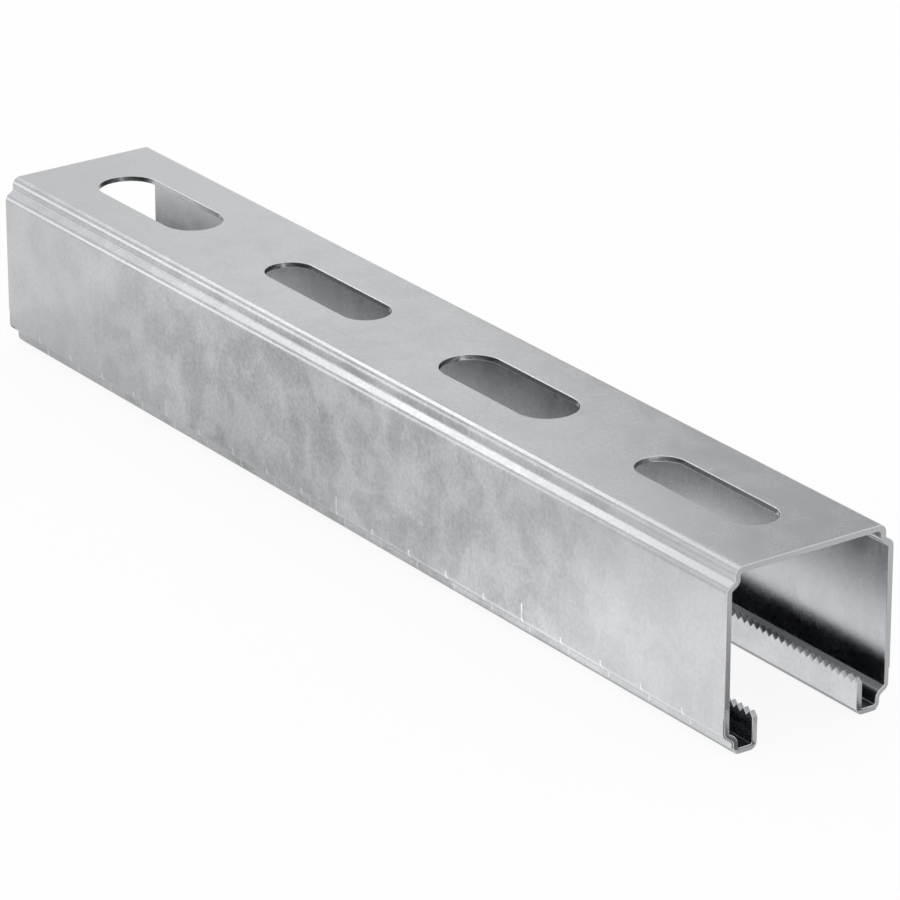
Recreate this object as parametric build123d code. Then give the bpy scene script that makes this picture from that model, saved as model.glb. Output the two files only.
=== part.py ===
from build123d import *
import os

# A short length of roll-formed mounting rail: one strip of galvanised steel, folded into a channel
# with a slotted back and two inturned lips whose upturned edges are serrated.
# The rail stands on its two feet with the open side down. X runs along it, Y across it, Z is up,
# and the origin is on the middle of the footprint.

# Rail and sheet
rail_length = 200.0
rail_width = 31.0  # over the two webs
rail_height = 30.0
sheet = 1.0

# Shoulders: the back is narrower than the rail, and each edge drops before it steps out to the web
back_width = 28.0
shoulder_drop = 2.2
shoulder_fall = 1.0

# Feet: below the webs the sheet steps in again, turns under and up into the lips
foot_width = 27.7  # over the outsides of the two feet
foot_height = 2.1
foot_rise = 1.1
mouth_width = 18.6  # clear between the lips
lip_height = 6.0

# Bends, as the radius on the inner side of each
back_bend = 0.4
shoulder_bend = 0.3
web_end_bend = 0.3
foot_step_bend = 0.8
foot_bend = 0.25

# Slots through the back, wide and narrow ones by turns, one for each whole pitch in the length
slot_pitch = 50.0
slot_length = 30.0
wide_slot = 10.5
narrow_slot = 8.5

# Serration of the lips, counted from the +X end
tooth_pitch = 1.5
tooth_depth = 0.8

# Measuring marks: grooves across the outside of both webs and feet, one at each step from end to end
mark_step = 10.0
marks_per_long = 5
mark_width = 0.5
mark_depth = 0.2
mark_wrap = 0.45  # how far a mark runs in under the foot
long_mark_top = 6.4
short_mark_top = 4.4

# Room for cutting tools beyond what they cut
clear = 1.0


def outside_line():
    """The outer face of one half of the section, from the middle of the back to the edge of the lip."""
    web, back, foot, lip = rail_width / 2, back_width / 2, foot_width / 2, mouth_width / 2
    shoulder = rail_height - shoulder_drop
    return FilletPolyline(
        (0, rail_height),
        (back, rail_height),
        (back, shoulder),
        (web, shoulder - shoulder_fall),
        (web, foot_height + foot_rise),
        (foot, foot_height),
        (foot, 0),
        (lip, 0),
        (lip, lip_height),
        radius=[
            back_bend + sheet,
            shoulder_bend,
            shoulder_bend + sheet,
            web_end_bend + sheet,
            foot_step_bend,
            foot_bend + sheet,
            foot_bend + sheet,
        ],
    )


def half_wall(thickness):
    """One half of the section, as thick as asked, measured inwards from the outer face."""
    with BuildSketch() as half:
        with BuildLine():
            line = outside_line()
            offset(line, amount=thickness, side=Side.RIGHT)
        make_face()
    return half.sketch


def both_sides(half):
    """A half section drawn in Y and Z, with its mirror image on the other side."""
    return Plane.YZ * (half + mirror(half, about=Plane.YZ))


def channel():
    """The bent sheet: both halves of the section along the whole rail."""
    return extrude(both_sides(half_wall(sheet)), amount=rail_length / 2, both=True)


def slot_cutters():
    """Round-ended slots along the back, wide and narrow by turns, evenly about the middle."""
    slot_count = int(rail_length / slot_pitch)
    cutters = []
    for i in range(slot_count):
        x = (i - (slot_count - 1) / 2) * slot_pitch
        width = wide_slot if i % 2 == 0 else narrow_slot
        outline = Pos(x, 0, rail_height - sheet / 2) * SlotOverall(slot_length, width)
        cutters.append(extrude(outline, amount=sheet / 2 + clear, both=True))
    return cutters


def tooth_cutter():
    """A comb that cuts V notches into the edges of both lips, from an open notch at the +X end."""
    reach = rail_length / 2 + tooth_pitch / 2
    notches = int(rail_length / tooth_pitch) + 1
    teeth = [(reach, lip_height)]
    for i in range(notches):
        valley = rail_length / 2 - i * tooth_pitch
        teeth.append((valley, lip_height - tooth_depth))
        teeth.append((valley - tooth_pitch / 2, lip_height))
    above = lip_height + clear
    outline = Polyline(*teeth, (teeth[-1][0], above), (reach, above), close=True)
    comb = Plane.XZ * make_face(outline)
    return extrude(comb, amount=mouth_width / 2 + sheet + clear, both=True)


def mark_cutters():
    """Shallow grooves that follow the outer face from under the foot up the web."""
    skin = half_wall(mark_depth)
    inner_edge = foot_width / 2 - mark_wrap
    outer_edge = rail_width / 2 + clear
    cutters = []
    steps = int(rail_length / 2 / mark_step)
    for i in range(-steps, steps + 1):
        top = long_mark_top if i % marks_per_long == 0 else short_mark_top
        window = Rectangle(outer_edge - inner_edge, top + clear, align=(Align.MIN, Align.MIN))
        groove = skin & (Pos(inner_edge, -clear) * window)
        cutters.append(Pos(i * mark_step, 0, 0) * extrude(both_sides(groove), amount=mark_width / 2, both=True))
    return cutters


rail = channel() - slot_cutters() - tooth_cutter() - mark_cutters()

os.makedirs("parts", exist_ok=True)
export_step(rail, "parts/rail.step")
print("rail", round(rail.volume), "mm3", rail.bounding_box())
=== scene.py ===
import math
import bmesh
import bpy
from mathutils import Matrix, Vector


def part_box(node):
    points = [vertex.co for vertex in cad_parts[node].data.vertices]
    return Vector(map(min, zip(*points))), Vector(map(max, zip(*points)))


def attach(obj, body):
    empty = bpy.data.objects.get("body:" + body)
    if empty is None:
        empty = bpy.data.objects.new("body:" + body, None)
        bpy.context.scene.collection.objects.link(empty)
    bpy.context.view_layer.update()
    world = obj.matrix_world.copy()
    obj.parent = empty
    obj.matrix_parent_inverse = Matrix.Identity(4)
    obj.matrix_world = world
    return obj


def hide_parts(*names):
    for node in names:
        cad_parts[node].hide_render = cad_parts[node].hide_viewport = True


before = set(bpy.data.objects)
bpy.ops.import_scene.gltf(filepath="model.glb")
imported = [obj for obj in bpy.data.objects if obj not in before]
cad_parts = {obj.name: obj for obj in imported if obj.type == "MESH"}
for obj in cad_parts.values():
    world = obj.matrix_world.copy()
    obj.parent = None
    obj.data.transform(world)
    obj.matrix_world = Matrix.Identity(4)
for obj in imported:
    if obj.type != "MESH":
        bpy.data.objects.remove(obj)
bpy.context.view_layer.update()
mm = 0.001
tiny = 1e-9  # shorter than any real step
print("frame loaded")


# The rail: one strip of sheet, laid out flat and folded. Its length, width and height come from the frame.
rail = {
    "name": "rail_strip",
    "sheet": 1.0 * mm,
    "backWidth": 28.0 * mm,
    "shoulderDrop": 2.2 * mm,
    "shoulderFall": 1.0 * mm,
    "footWidth": 27.7 * mm,
    "footHeight": 2.1 * mm,
    "footRise": 1.1 * mm,
    "mouthWidth": 18.6 * mm,
    "lipHeight": 6.0 * mm,
    "backBend": 0.4 * mm,  # bends, by the radius on the inner side of each
    "shoulderBend": 0.3 * mm,
    "webEndBend": 0.3 * mm,
    "footStepBend": 0.8 * mm,
    "footBend": 0.25 * mm,
    "slotPitch": 50.0 * mm,
    "slotLength": 30.0 * mm,
    "slotWidths": (10.5 * mm, 8.5 * mm),  # by turns, from the -X end
    "toothPitch": 1.5 * mm,
    "toothDepth": 0.8 * mm,
    "markStep": 10.0 * mm,
    "marksPerLong": 5,
    "markWidth": 0.5 * mm,
    "markDepth": 0.2 * mm,
    "markSlope": 0.1 * mm,  # run of a mark's sides
    "markWrap": 0.6 * mm,  # how far a mark runs in under the foot
    "longMarkTop": 6.4 * mm,
    "shortMarkTop": 4.4 * mm,
    "grooveShadeTop": 3.2 * mm,  # where the painted shade in the groove behind the lip begins
    "edgeRound": 0.14 * mm,  # rounding along every cut edge
    "edgeSteps": 4,
    "bendStep": math.radians(7.5),  # the turn from one line of a bend to the next
    "slotSteps": 14,  # along a quarter turn of a slot's end
    "margin": 0.8 * mm,  # plain sheet between the slots or teeth and the next line
    "sharpAngle": math.radians(40),
    "sameWay": 1e-6,  # two lines on one flat stretch differ by less than this in direction
    "mergeWithin": 0.001 * mm,
    "shadingWeight": 100,  # the largest faces lead the shading
}


class Station:  # one line along the rail, at which the folded strip bends or changes
    def __init__(self, point, inward):
        self.point = point  # y and z on the outer face
        self.inward = inward  # from the outer face to the inner one
        self.onward = Vector((-inward.y, inward.x))  # from the back towards the lip
        self.marked = 0  # 1 where the long marks are cut, 2 where all of them are


class Post:  # one point of the strip's cut edge
    def __init__(self, x, station, shift, outward, depth=0.0):
        self.x, self.station, self.shift, self.depth = x, station, shift, depth
        self.outward = outward  # out of the sheet, as x and onward
        self.cut = 1.0  # 1 for a plain cut, 2 for a tooth


def place(x, station, shift=0.0, depth=0.0):
    spot = station.point + station.onward * shift + station.inward * depth
    return Vector((x, spot.x, spot.y))


def foldLine(halfWidth, top):
    # the outer face of one half, from the middle of the back round to the edge of the lip
    back, foot, lip = rail["backWidth"] / 2, rail["footWidth"] / 2, rail["mouthWidth"] / 2
    shoulder, sheet = top - rail["shoulderDrop"], rail["sheet"]
    bends = [
        (back, top, rail["backBend"] + sheet),
        (back, shoulder, rail["shoulderBend"]),
        (halfWidth, shoulder - rail["shoulderFall"], rail["shoulderBend"] + sheet),
        (halfWidth, rail["footHeight"] + rail["footRise"], rail["webEndBend"] + sheet),
        (foot, rail["footHeight"], rail["footStepBend"]),
        (foot, 0.0, rail["footBend"] + sheet),
        (lip, 0.0, rail["footBend"] + sheet),
    ]
    corners = [Vector((0.0, top))] + [Vector(bend[:2]) for bend in bends] + [Vector((lip, rail["lipHeight"]))]
    stations = [Station(corners[0], Vector((0.0, -1.0)))]
    for i, (*_, radius) in enumerate(bends):
        corner = corners[i + 1]
        coming = (corner - corners[i]).normalized()
        going = (corners[i + 2] - corner).normalized()
        side = 1 if coming.cross(going) < 0 else -1  # 1 where the strip turns in on itself
        turn = coming.angle(going)
        inward = Vector((coming.y, -coming.x))
        centre = corner - coming * radius * math.tan(turn / 2) + inward * radius * side
        steps = math.ceil(turn / rail["bendStep"])
        for k in range(steps + 1):
            normal = Matrix.Rotation(-side * turn * k / steps, 2) @ inward
            stations.append(Station(centre - normal * radius * side, normal))
    stations.append(Station(corners[-1], stations[-1].inward))
    return stations


def addStation(stations, axis, value, nearest=0):
    # one more line where a flat stretch passes that y (axis 0) or z (axis 1), looked for from that place on
    for i in range(nearest, len(stations) - 1):
        a, b = stations[i], stations[i + 1]
        share = (value - a.point[axis]) / (b.point[axis] - a.point[axis] or 1.0)
        if (a.inward - b.inward).length < rail["sameWay"] and 0 < share < 1:
            stations.insert(i + 1, Station(a.point.lerp(b.point, share), a.inward))
            return i + 1


def markZone(stations):
    # lines for the tops of the marks, and how far down and under the foot each kind reaches
    firsts = [
        addStation(stations, 1, rail[top] - drop)
        for top in ("longMarkTop", "shortMarkTop") for drop in (0, rail["markSlope"])
    ]
    wrapped = rail["footWidth"] / 2 - rail["markWrap"]
    last = next(i for i in range(firsts[3], len(stations)) if stations[i].point.x < wrapped)
    for i in range(firsts[1], last):
        stations[i].marked = 1 if i < firsts[3] else 2
    return firsts[0], last


def markColumns(half, reach):
    # places along the rail where the marks begin, reach their floor, leave it and end
    columns = [(-reach, True, True)]
    count = round(half / rail["markStep"])
    edge, floor = rail["markWidth"] / 2, rail["markWidth"] / 2 - rail["markSlope"]
    for i in range(-count, count + 1):
        for offset, isFloor in ((-edge, False), (-floor, True), (floor, True), (edge, False)):
            x = i * rail["markStep"] + offset
            if abs(x) < reach:
                columns.append((x, isFloor, i % rail["marksPerLong"] == 0))
    return columns + [(reach, True, True)]


def slotPosts(station, half):
    # the cut edge of one half of each slot, from -X to +X
    count = int(2 * half / rail["slotPitch"])
    posts = []
    for i in range(count):
        middle = (i - (count - 1) / 2) * rail["slotPitch"]
        radius = rail["slotWidths"][i % 2] / 2
        straight = rail["slotLength"] / 2 - radius
        edge = []
        for side in (-1, 1):
            for k in range(rail["slotSteps"] + 1):
                angle = math.pi / 2 * k / rail["slotSteps"]
                if side > 0:
                    angle = math.pi / 2 - angle
                away = Vector((side * math.cos(angle), math.sin(angle)))
                edge.append(Post(middle + side * straight + away.x * radius, station, away.y * radius, -away))
        posts.append(edge)
    return posts


def toothPosts(station, half):
    # the cut edge of the lip from +X to -X: it starts in a root, and ends with what is left of the last flank
    step = rail["toothPitch"] / 2
    spots = [Vector((half, -rail["toothDepth"]))]

    def nextSpot():
        return Vector((spots[-1].x - step, 0.0 if len(spots) % 2 else -rail["toothDepth"]))

    while spots[-1].x - step > -half:
        spots.append(nextSpot())
    spots.append(spots[-1].lerp(nextSpot(), (spots[-1].x + half) / step))
    flanks = [(b - a).normalized() for a, b in zip(spots, spots[1:])]
    faces = [Vector((1.0, 0.0))] + [Vector((f.y, -f.x)) for f in flanks] + [Vector((-1.0, 0.0))]
    return [
        Post(spot.x, station, spot.y, (a + b) / (1 + a.dot(b)))
        for spot, a, b in zip(spots, faces, faces[1:])
    ]


def seatPost(strip, post):
    # the post's corner on the outer face and on the inner one, short of the edge by its rounding
    back = rail["edgeRound"]
    x, shift = post.x - post.outward.x * back, post.shift - post.outward.y * back
    post.outer = strip.verts.new(place(x, post.station, shift, post.depth))
    post.inner = strip.verts.new(place(x, post.station, shift, rail["sheet"]))
    return post


def joinRows(strip, a, b):
    # faces between two rows of corners that run along the rail
    if len(a) == len(b):
        for k in range(len(a) - 1):
            strip.faces.new((a[k], a[k + 1], b[k + 1], b[k]))
        return
    i = j = 0
    while i + j < len(a) + len(b) - 2:
        if j == len(b) - 1 or (i < len(a) - 1 and a[i + 1].co.x <= b[j + 1].co.x):
            strip.faces.new((a[i], a[i + 1], b[j]))
            i += 1
        else:
            strip.faces.new((b[j], b[j + 1], a[i]))
            j += 1


def cutEdge(strip, posts, cutLayer, highlightLayer):
    # the edge of the sheet from post to post: a rounding, the cut face and a rounding, with a painted
    # highlight across each rounding
    radius, turns = rail["edgeRound"], range(1, rail["edgeSteps"] + 1)
    profile = [(math.pi / 2 * k / rail["edgeSteps"], False) for k in turns]
    profile += [(angle, True) for angle, _ in reversed(profile)]
    loops = []
    for post in posts:
        loop = [post.outer]
        for angle, isFar in profile:
            back, depth = radius * (1 - math.sin(angle)), radius * (1 - math.cos(angle))
            spot = place(
                post.x - post.outward.x * back, post.station, post.shift - post.outward.y * back,
                rail["sheet"] - depth if isFar else post.depth + depth,
            )
            loop.append(strip.verts.new(spot))
            loop[-1][cutLayer] = post.cut if back < tiny else 0.0
            # a painted highlight, strongest halfway round each rounding
            loop[-1][highlightLayer] = math.sin(2 * angle)
        loops.append(loop + [post.inner])
    for a, b in zip(loops, loops[1:]):
        for k in range(len(a) - 1):
            strip.faces.new((a[k], a[k + 1], b[k + 1], b[k]))


def buildStrip():
    low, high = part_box("rail")
    half = (high.x - low.x) / 2
    reach = half - rail["edgeRound"]
    stations = foldLine((high.y - low.y) / 2, high.z)
    addStation(stations, 0, max(rail["slotWidths"]) / 2 + rail["margin"])
    markFirst, markLast = markZone(stations)
    toothLine = rail["lipHeight"] - rail["toothDepth"] - rail["margin"]
    addStation(stations, 1, toothLine, markLast)

    strip = bmesh.new()
    cutLayer, highlightLayer, floorLayer, insideLayer = (
        strip.verts.layers.float.new(name) for name in ("cutFace", "edgePaintedHighlight", "markFloor", "inside")
    )
    # the floors of the marks get a painted highlight through this layer
    markHighlightLayer = strip.faces.layers.float.new("markPaintedHighlight")
    slotEdges = slotPosts(stations[0], half)
    lipEdge = toothPosts(stations[-1], half)
    for post in sum(slotEdges, []) + lipEdge:
        seatPost(strip, post)
    for post in lipEdge[1:-1]:
        post.cut = 2.0
    columns = markColumns(half, reach)
    outerRows, innerRows, ends = [], [], {-1: [], 1: []}
    last = len(stations) - 1
    for i, station in enumerate(stations):
        if i == last:
            outerRows.append([post.outer for post in reversed(lipEdge)])
            innerRows.append([post.inner for post in reversed(lipEdge)])
            continue
        endDepth = rail["markDepth"] if station.marked else 0.0
        left, right = (
            seatPost(strip, Post(side * half, station, 0.0, Vector((side, 0.0)), endDepth))
            for side in (-1, 1)
        )
        ends[-1].append(left)
        ends[1].append(right)
        outer, inner = [left.outer], [left.inner]
        if i == 0:
            outer += [post.outer for post in sum(slotEdges, [])]
            inner += [post.inner for post in sum(slotEdges, [])]
        elif i in (1, last - 1):
            others = outerRows[0] if i == 1 else [post.outer for post in reversed(lipEdge)]
            for corner in others[1:-1]:
                outer.append(strip.verts.new(place(corner.co.x, station)))
                inner.append(strip.verts.new(place(corner.co.x, station, 0.0, rail["sheet"])))
        elif markFirst <= i <= markLast:
            for x, isFloor, isLong in columns[1:-1]:
                cut = isFloor and (station.marked == 2 or station.marked == 1 and isLong)
                outer.append(strip.verts.new(place(x, station, 0.0, rail["markDepth"] if cut else 0.0)))
                outer[-1][floorLayer] = 1.0 if cut else 0.0
        outerRows.append(outer + [right.outer])
        innerRows.append(inner + [right.inner])
        # the inner face low in the groove is marked 2, for painted shade
        inGroove = station.point.y < rail["grooveShadeTop"]
        for corner in innerRows[-1]:
            corner[insideLayer] = 2.0 if inGroove else 1.0
    for rows in (outerRows, innerRows):
        for a, b in zip(rows, rows[1:]):
            joinRows(strip, a, b)
    for face in strip.faces:
        face[markHighlightLayer] = max(corner[floorLayer] for corner in face.verts)
    for edge in slotEdges:
        cutEdge(strip, edge, cutLayer, highlightLayer)
    cutEdge(strip, ends[1] + lipEdge + ends[-1][::-1], cutLayer, highlightLayer)

    copied = bmesh.ops.duplicate(strip, geom=strip.verts[:] + strip.edges[:] + strip.faces[:])
    for part in copied["geom"]:
        if isinstance(part, bmesh.types.BMVert):
            part.co.y = -part.co.y
    bmesh.ops.remove_doubles(strip, verts=strip.verts[:], dist=rail["mergeWithin"])
    bmesh.ops.recalc_face_normals(strip, faces=strip.faces[:])
    for face in strip.faces:
        face.smooth = True
    for edge in strip.edges:
        edge.smooth = edge.calc_face_angle(0.0) < rail["sharpAngle"]
    loose = [edge for edge in strip.edges if len(edge.link_faces) != 2]
    print("strip", len(strip.verts), "corners,", len(strip.faces), "faces,", len(loose), "open edges")

    mesh = bpy.data.meshes.new(rail["name"])
    strip.to_mesh(mesh)
    strip.free()
    piece = bpy.data.objects.new(rail["name"], mesh)
    bpy.context.scene.collection.objects.link(piece)
    weighted = piece.modifiers.new("evenShading", "WEIGHTED_NORMAL")
    weighted.keep_sharp = True
    weighted.weight = rail["shadingWeight"]
    return piece


class Wire:  # a socket; sums with it add Math nodes
    def __init__(self, shader, socket):
        self.shader, self.socket = shader, socket

    def math(self, operation, *values):
        return self.shader.node("ShaderNodeMath", {"operation": operation}, dict(enumerate(values)))

    def __add__(self, other):
        return self.math("ADD", self, other)

    def __sub__(self, other):
        return self.math("SUBTRACT", self, other)

    def __rsub__(self, other):
        return self.math("SUBTRACT", other, self)

    def __mul__(self, other):
        return self.math("MULTIPLY", self, other)

    def __abs__(self):
        return self.math("ABSOLUTE", self)

    __radd__ = __add__
    __rmul__ = __mul__


class Shader:  # the node tree of a material or of the world
    def __init__(self, owner):
        owner.use_nodes = True
        self.tree = owner.node_tree
        self.tree.nodes.clear()

    def node(self, kind, settings, sockets, output=0):
        added = self.tree.nodes.new(kind)
        for name, value in settings.items():
            setattr(added, name, value)
        for name, value in sockets.items():
            if isinstance(value, Wire):
                self.tree.links.new(value.socket, added.inputs[name])
            else:
                added.inputs[name].default_value = value
        return Wire(self, added.outputs[output]) if added.outputs else None

    def mix(self, share, first, second):
        return self.node("ShaderNodeMix", {"data_type": "RGBA"}, {0: share, 6: first, 7: second}, 2)

    def ramp(self, value, start, end, low, high):
        # from low to high, with a soft start and end
        return self.node("ShaderNodeMapRange", {"interpolation_type": "SMOOTHSTEP"}, {
            0: value, 1: start, 2: end, 3: low, 4: high,
        })


# The zinc coat: clouds, small pools with soft rims, fine grain, and faint streaks round the section.
# It is calmer on the back, at the ends and inside, and darker on cut faces. Painted shade darkens
# the groove behind the lip and the teeth, and painted highlights brighten the edges and the floors of the
# marks.
zinc = {
    "dark": (0.315, 0.323, 0.33, 1.0),
    "light": (0.605, 0.62, 0.64, 1.0),
    "cut": (0.43, 0.44, 0.455, 1.0),
    # the teeth, painted darker than other cut faces: painted shade
    "tooth": (0.37, 0.375, 0.39, 1.0),
    # painted shade for the groove behind the lip, a recess
    "groove": (0.10, 0.105, 0.115, 1.0),
    "grooveShadeShare": 0.62,
    "toothPolish": 0.14,  # how much smoother the teeth are
    # colour of the painted highlights on edges and marks
    "paintedHighlight": (0.88, 0.885, 0.89, 1.0),
    "edgeHighlightShare": 0.38,  # how far edges and marks go towards the painted highlight
    "markHighlightShare": 0.5,
    "roughness": 0.25,
    "cloudSize": 24.0 * mm,
    "poolSize": 6.0 * mm,
    "grainSize": 0.7 * mm,
    "streakSize": 1.2 * mm,
    "streakStretch": 6.0,
    "cloudDetail": 2.0,
    "poolDetail": 4.0,
    "fineDetail": 3.0,  # of the grain and the streaks
    "poolTwist": 0.5,
    "cloudShare": 0.9,  # how much each adds to the tone
    "poolShare": 0.85,
    "rimShare": 0.1,
    "grainShare": 0.85,
    "streakShare": 0.28,
    "rimBand": (-0.05, 0.04),  # where in a pool its rim lies
    "poolRough": 0.15,  # how much each adds to the roughness
    "rimRough": 0.02,
    "streakRough": 0.06,
    "bumpStrength": 0.4,
    "bumpHeight": 0.01 * mm,
    "bumpGrain": 0.2,
    "insideCalm": 0.4,  # how much of the pattern is lost on the inner side of the sheet
    "backCalm": 0.6,  # on faces that look up
    "endCalm": 0.6,  # and towards the ends of the rail
    "endBand": (30.0 * mm, 90.0 * mm),  # from the middle, where that begins and is full
}


def zincCoat():
    material = bpy.data.materials.new("galvanisedSteel")
    shader = Shader(material)
    spot = shader.node("ShaderNodeTexCoord", {}, {}, "Object")
    facing = shader.node("ShaderNodeTexCoord", {}, {}, "Normal")

    def field(size, detail, distortion=0.0, stretch=1.0):
        # noise about 0; stretched, it runs round the section
        scaled = shader.node("ShaderNodeMapping", {}, {
            "Vector": spot, "Scale": (1 / size, 1 / size / stretch, 1 / size / stretch),
        })
        return shader.node("ShaderNodeTexNoise", {}, {
            "Vector": scaled, "Scale": 1.0, "Detail": detail, "Distortion": distortion,
        }) - 0.5

    cloud = field(zinc["cloudSize"], zinc["cloudDetail"])
    pool = field(zinc["poolSize"], zinc["poolDetail"], zinc["poolTwist"])
    poolRim = shader.ramp(pool, *zinc["rimBand"], -0.5, 0.5)
    grain = field(zinc["grainSize"], zinc["fineDetail"])
    streak = field(zinc["streakSize"], zinc["fineDetail"], 0.0, zinc["streakStretch"])
    up = shader.node("ShaderNodeSeparateXYZ", {}, {"Vector": facing}, "Z")
    along = shader.node("ShaderNodeSeparateXYZ", {}, {"Vector": spot}, "X")
    atEnd = shader.ramp(abs(along), *zinc["endBand"], 0.0, zinc["endCalm"])
    inside, cutFace, edgePaintedHighlight, markPaintedHighlight = (
        shader.node("ShaderNodeAttribute", {"attribute_name": name}, {}, "Fac")
        for name in ("inside", "cutFace", "edgePaintedHighlight", "markPaintedHighlight")
    )
    # inside and cutFace are 1 on plain places, and 2 in the groove and on the teeth, where shade is painted
    grooveShadeMask, toothed = (
        shader.node("ShaderNodeMath", {"operation": "SUBTRACT", "use_clamp": True}, {0: mark, 1: 1.0})
        for mark in (inside, cutFace)
    )
    calmInside = 1.0 - inside.math("MINIMUM", inside, 1.0) * zinc["insideCalm"]
    calm = (1.0 - abs(up) * zinc["backCalm"]) * (1.0 - atEnd) * calmInside
    pattern = (
        cloud * zinc["cloudShare"] + pool * zinc["poolShare"] + poolRim * zinc["rimShare"]
        + grain * zinc["grainShare"] + streak * zinc["streakShare"]
    )
    tone = pattern * calm + 0.5
    coat = shader.mix(tone, zinc["dark"], zinc["light"])
    # painted shade in the groove behind the lip
    coat = shader.mix(grooveShadeMask * zinc["grooveShadeShare"], coat, zinc["groove"])
    # the teeth are painted darker still: painted shade
    cut = shader.mix(toothed, shader.mix(cutFace, coat, zinc["cut"]), zinc["tooth"])
    # painted highlight along the edge roundings
    edged = shader.mix(edgePaintedHighlight * zinc["edgeHighlightShare"], cut, zinc["paintedHighlight"])
    # painted highlight on the floors of the marks
    colour = shader.mix(markPaintedHighlight * zinc["markHighlightShare"], edged, zinc["paintedHighlight"])
    rough = pool * zinc["poolRough"] + poolRim * zinc["rimRough"] + streak * zinc["streakRough"]
    rough = rough + zinc["roughness"] - toothed * zinc["toothPolish"]
    bump = shader.node("ShaderNodeBump", {}, {
        "Strength": zinc["bumpStrength"], "Distance": zinc["bumpHeight"],
        "Height": (pool + grain * zinc["bumpGrain"]) * calmInside,
    })
    surface = shader.node("ShaderNodeBsdfPrincipled", {}, {
        "Base Color": colour, "Metallic": 1.0, "Roughness": rough, "Normal": bump,
    })
    shader.node("ShaderNodeOutputMaterial", {}, {"Surface": surface})
    return material


def flatCorners(left, right, near, far, level):
    return [(left, near, level), (right, near, level), (right, far, level), (left, far, level)]


# The studio, in metres: a pale floor, white all round, soft lamps, light that lies on the floor,
# and grey cards
studio = {
    "floorSize": 4.0,
    "floorDrop": 0.02 * mm,
    "floorColour": (0.91, 0.90, 0.89, 1.0),
    "plainWhite": 0.9,  # share of plain white in the floor as the camera sees it
    "mirroredWhite": 0.43,  # and as the metal mirrors it
    "lamps": (  # name, place, what it faces, width, height, brightness
        ("highStrip", (-0.735, -0.03, 0.672), (0, 0, 0), 0.56, 0.10, 2.6),
        ("lowStrip", (-0.80, -0.58, 0.20), (0, 0, 0), 0.18, 0.36, 1.3),
        ("farTable", (-0.170, -0.045, 0.0005), (-0.170, -0.045, 1.0), 0.12, 0.06, 0.15),
        ("nearMouth", (0.080, 0.0, 0.0005), (0.080, 0.0, 1.0), 0.12, 0.018, 0.68),
        ("midMouth", (-0.040, 0.0, 0.0005), (-0.040, 0.0, 1.0), 0.12, 0.018, 0.13),
        ("backGlow", (-0.61, 0.42, 0.333), (0, 0, 0.03), 0.14, 0.3, 0.08),
    ),
    "glows": (  # name, ends in x, how far they fade, sides in y, level, brightness
        ("footGlow", (-0.028, 0.110), 0.070, (-0.018, -0.0156), 0.0003, 0.30),
        ("tableGlow", (0.005, 0.210), 0.060, (-0.062, -0.014), 0.0004, 0.48),
    ),
    "shades": (  # for the back, the cut end and the inside to mirror: name, grey, corners
        ("backShade", 0.75, [
            (-0.278, 0.192, 0.108), (0.055, 0.054, 0.108), (0.121, 0.213, 0.007), (-0.211, 0.352, 0.007),
        ]),
        ("endShade", 0.30, flatCorners(0.1005, 0.116, -0.04, 0.012, 0.0005)),
        ("endVeil", 0.50, flatCorners(0.116, 0.155, -0.04, 0.014, 0.0005)),
        ("farShade", 0.28, flatCorners(-0.145, -0.102, -0.016, 0.016, 0.0006)),
    ),
}


def stageSheet(name, corners):
    mesh = bpy.data.meshes.new(name)
    mesh.from_pydata(corners, [], [(0, 1, 2, 3)])
    sheet = bpy.data.objects.new(name, mesh)
    bpy.context.scene.collection.objects.link(sheet)
    material = bpy.data.materials.new(name + "Paint")
    mesh.materials.append(material)
    shader = Shader(material)
    return sheet, shader


def addFloor():
    side = studio["floorSize"] / 2
    _, shader = stageSheet("floor", flatCorners(-side, side, -side, side, -studio["floorDrop"]))
    paint = shader.node("ShaderNodeBsdfDiffuse", {}, {"Color": studio["floorColour"]})
    camera, glossy, through = (
        shader.node("ShaderNodeLightPath", {}, {}, f"Is {ray} Ray")
        for ray in ("Camera", "Glossy", "Transmission")
    )
    white = shader.node("ShaderNodeEmission", {}, {"Strength": 1.0})
    mixed = shader.node("ShaderNodeMixShader", {}, {
        0: camera * studio["plainWhite"] + (glossy + through) * studio["mirroredWhite"], 1: paint, 2: white,
    })
    shader.node("ShaderNodeOutputMaterial", {}, {"Surface": mixed})


def onlyMirror(sheet):
    # the metal mirrors it, and nothing else sees it
    sheet.visible_camera = sheet.visible_shadow = sheet.visible_diffuse = False


def addShades():
    for name, grey, corners in studio["shades"]:
        shade, shader = stageSheet(name, corners)
        paint = shader.node("ShaderNodeBsdfDiffuse", {}, {"Color": (grey, grey, grey, 1.0)})
        shader.node("ShaderNodeOutputMaterial", {}, {"Surface": paint})
        onlyMirror(shade)


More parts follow.
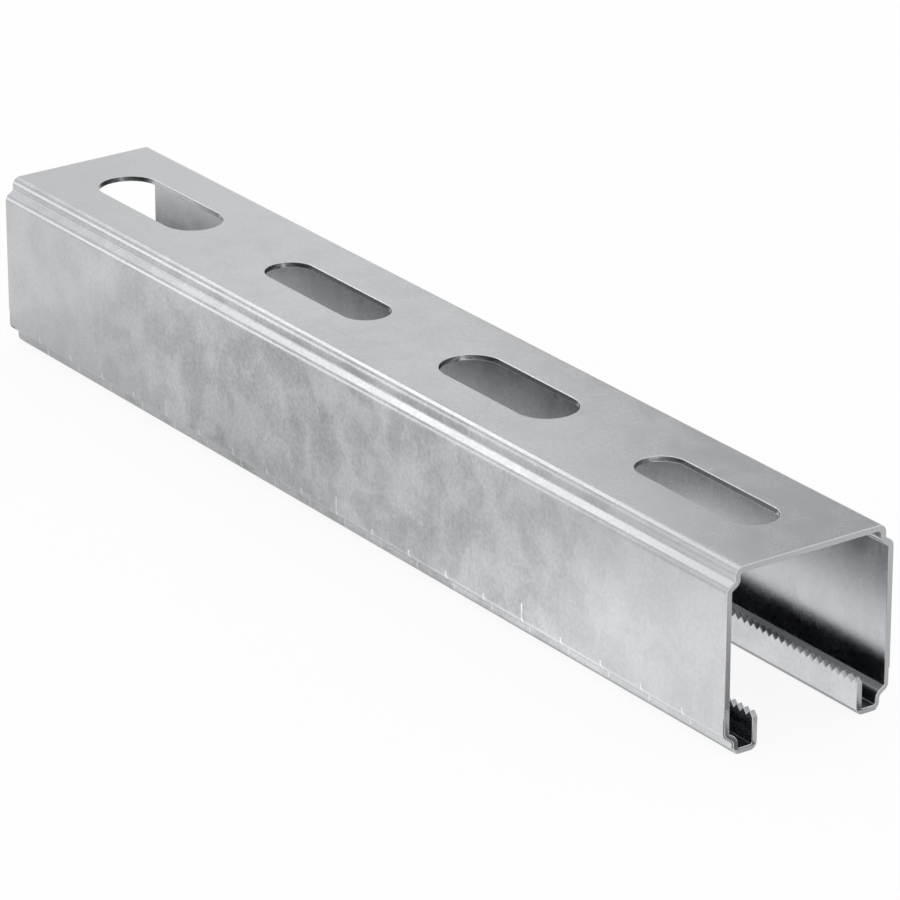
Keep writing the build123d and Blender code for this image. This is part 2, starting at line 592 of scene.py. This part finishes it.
def addGlows():
    for name, (left, right), fade, (near, far), level, brightness in studio["glows"]:
        glow, shader = stageSheet(name, flatCorners(left, right, near, far, level))
        spot = shader.node("ShaderNodeTexCoord", {}, {}, "Object")
        along = shader.node("ShaderNodeSeparateXYZ", {}, {"Vector": spot}, "X")
        rise = shader.ramp(along, left, left + fade, 0.0, 1.0)
        fall = shader.ramp(along, right - fade, right, 1.0, 0.0)
        clear = shader.node("ShaderNodeBsdfTransparent", {}, {})
        light = shader.node("ShaderNodeEmission", {}, {"Strength": brightness})
        lit = shader.node("ShaderNodeAddShader", {}, {0: clear, 1: light})
        mixed = shader.node("ShaderNodeMixShader", {}, {0: rise * fall, 1: clear, 2: lit})
        shader.node("ShaderNodeOutputMaterial", {}, {"Surface": mixed})
        onlyMirror(glow)


def addWorld():
    world = bpy.data.worlds.new("studio")
    bpy.context.scene.world = world
    shader = Shader(world)
    white = shader.node("ShaderNodeBackground", {}, {"Color": (1.0, 1.0, 1.0, 1.0), "Strength": 1.0})
    shader.node("ShaderNodeOutputWorld", {}, {"Surface": white})


def addLamps():
    for name, spot, aim, width, height, brightness in studio["lamps"]:
        lamp = bpy.data.lights.new(name, "AREA")
        lamp.shape = "RECTANGLE"
        lamp.size, lamp.size_y = width, height
        lamp.energy = brightness * math.pi * width * height  # the same brightness at any size
        holder = bpy.data.objects.new(name, lamp)
        holder.location = spot
        holder.rotation_mode = "QUATERNION"
        holder.rotation_quaternion = (Vector(aim) - Vector(spot)).to_track_quat("-Z", "Y")
        holder.visible_camera = False
        bpy.context.scene.collection.objects.link(holder)


# The view, as the rail is seen in the photograph
view = {
    "azimuth": math.radians(54.725),
    "elevation": math.radians(22.816),
    "aim": Vector((-0.04 * mm, 6.54 * mm, 9.05 * mm)),
    "distance": 905.39 * mm,
    "lens": 226.04,
    "sensor": 36.0,
    "clip": (0.01, 20.0),
}


def addCamera():
    lens = bpy.data.cameras.new("camera")
    lens.lens = view["lens"]
    lens.sensor_width = view["sensor"]
    lens.clip_start, lens.clip_end = view["clip"]
    camera = bpy.data.objects.new("camera", lens)
    azimuth, level = view["azimuth"], math.cos(view["elevation"])
    back = Vector((math.sin(azimuth) * level, -math.cos(azimuth) * level, math.sin(view["elevation"])))
    camera.location = view["aim"] + back * view["distance"]
    camera.rotation_mode = "QUATERNION"
    camera.rotation_quaternion = (-back).to_track_quat("-Z", "Y")
    bpy.context.scene.collection.objects.link(camera)
    bpy.context.scene.camera = camera


piece = buildStrip()
piece.data.materials.append(zincCoat())
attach(piece, "root")
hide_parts("rail")
print("rail built")

addFloor()
addShades()
addGlows()
addWorld()
addLamps()
addCamera()
bpy.context.scene.view_settings.view_transform = "Standard"
print("studio set")
